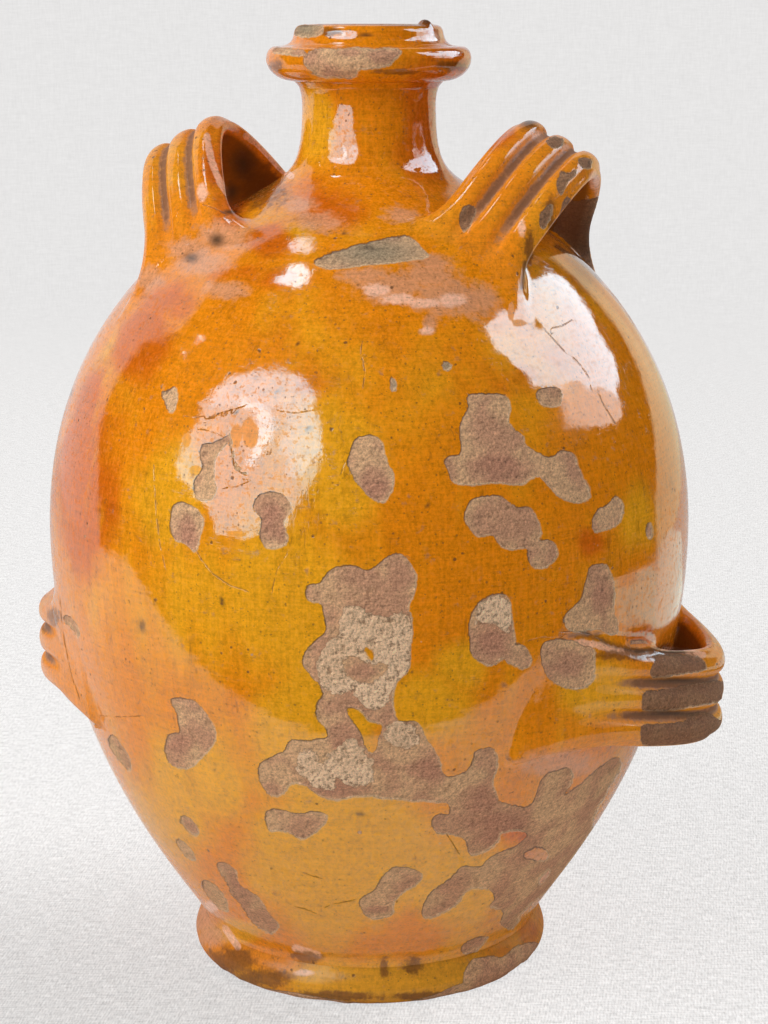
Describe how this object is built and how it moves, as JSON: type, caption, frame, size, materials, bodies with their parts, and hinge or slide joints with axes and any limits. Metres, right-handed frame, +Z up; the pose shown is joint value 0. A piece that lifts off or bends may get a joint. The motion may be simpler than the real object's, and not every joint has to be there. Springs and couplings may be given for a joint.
{
  "type": "four-handled jug",
  "caption": "Glazed earthenware storage jug: round belly, narrow collared neck, ring foot, ribbed strap handles on the shoulder and round the lower body.",
  "frame": {"origin": "centre of the ring foot, on the surface that the jug stands on", "axes": "+Z up along the jug's axis, +X towards the right-hand handles, +Y to the back"},
  "size_m": [0.3254, 0.2874, 0.4223],
  "materials": {
    "foot": "worn amber glaze, bare clay at the ground",
    "body": "glossy amber glaze with bare patches",
    "rim": "glossy rust-amber glaze, chipped to bare clay",
    "handles": "glossy amber glaze worn off the ribs"
  },
  "bodies": {
    "root": {"foot_ring": "foot", "lower_body": "body", "shoulder": "body", "neck": "body", "rim": "rim", "handle_upper_right": "handles", "handle_upper_left": "handles", "handle_lower_right": "handles", "handle_lower_left": "handles"}
  },
  "joints": []
}
